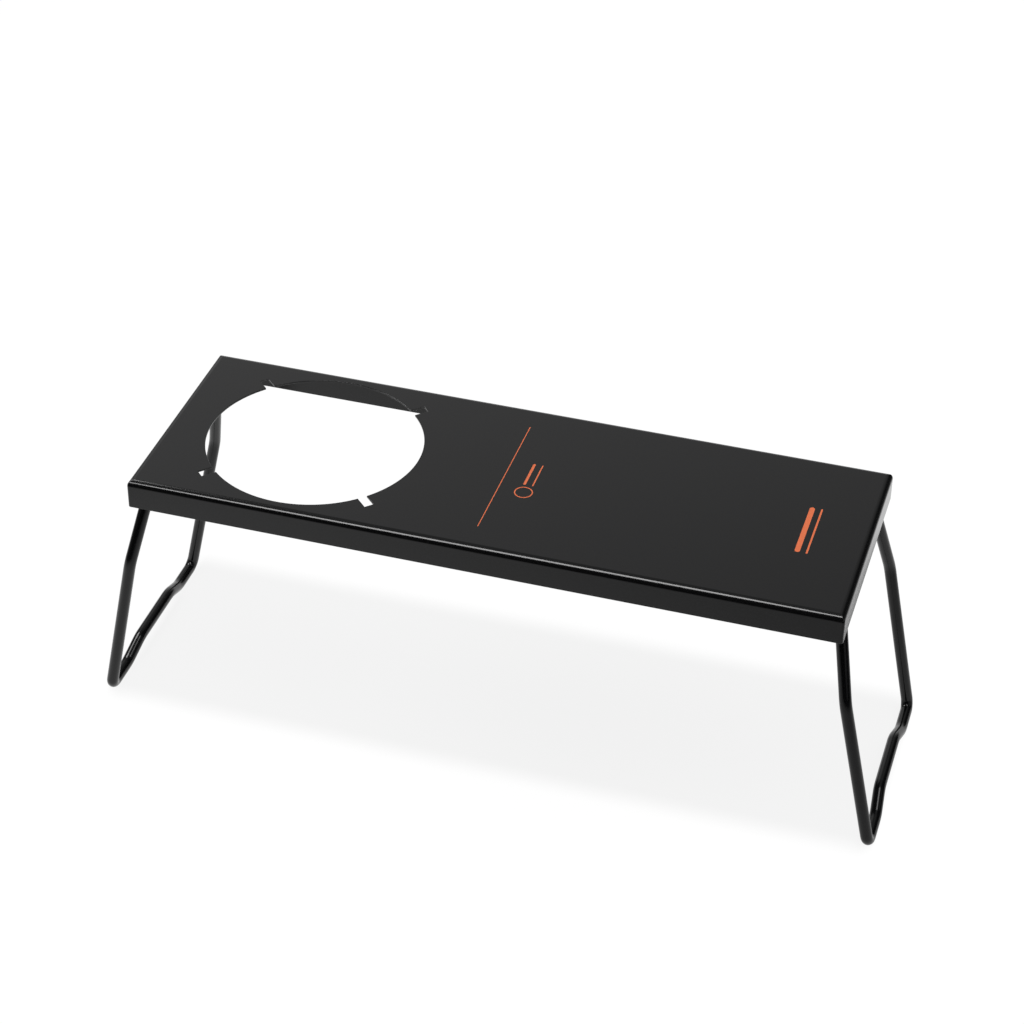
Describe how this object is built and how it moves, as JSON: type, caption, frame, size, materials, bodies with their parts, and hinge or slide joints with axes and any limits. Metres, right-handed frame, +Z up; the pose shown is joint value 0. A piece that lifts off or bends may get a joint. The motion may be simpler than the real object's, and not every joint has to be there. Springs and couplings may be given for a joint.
{
  "type": "camping table",
  "caption": "Low folding camp-stove table: folded sheet-steel top with a notched round hole for a stove, on bent-wire legs that hinge flat underneath.",
  "frame": {"origin": "on the floor, under the middle of the table top, with the legs unfolded", "axes": "+X along the table, away from the end with the stove hole; +Y to the back; +Z up"},
  "size_m": [0.4434, 0.1336, 0.1555],
  "materials": {
    "top_paint": "sheet steel with fine matt dark grey powder coat",
    "wire_paint": "steel wire with smooth semi-gloss black coat"
  },
  "bodies": {
    "top": {"table_top": "top_paint", "left_front_hinge_clip": "top_paint", "left_back_hinge_clip": "top_paint", "right_front_hinge_clip": "top_paint", "right_back_hinge_clip": "top_paint"},
    "left_leg_frame": {"left_leg": "wire_paint"},
    "right_leg_frame": {"right_leg": "wire_paint"}
  },
  "joints": [
    {"name": "left_leg_fold", "type": "hinge", "parent": "top", "child": "left_leg_frame", "pos_m": [-0.18782, 0, 0.1509], "axis": [0, -1, 0], "range_deg": [0, 101.6]},
    {"name": "right_leg_fold", "type": "hinge", "parent": "top", "child": "right_leg_frame", "pos_m": [0.18782, 0, 0.1509], "axis": [0, 1, 0], "range_deg": [0, 101.6]}
  ]
}
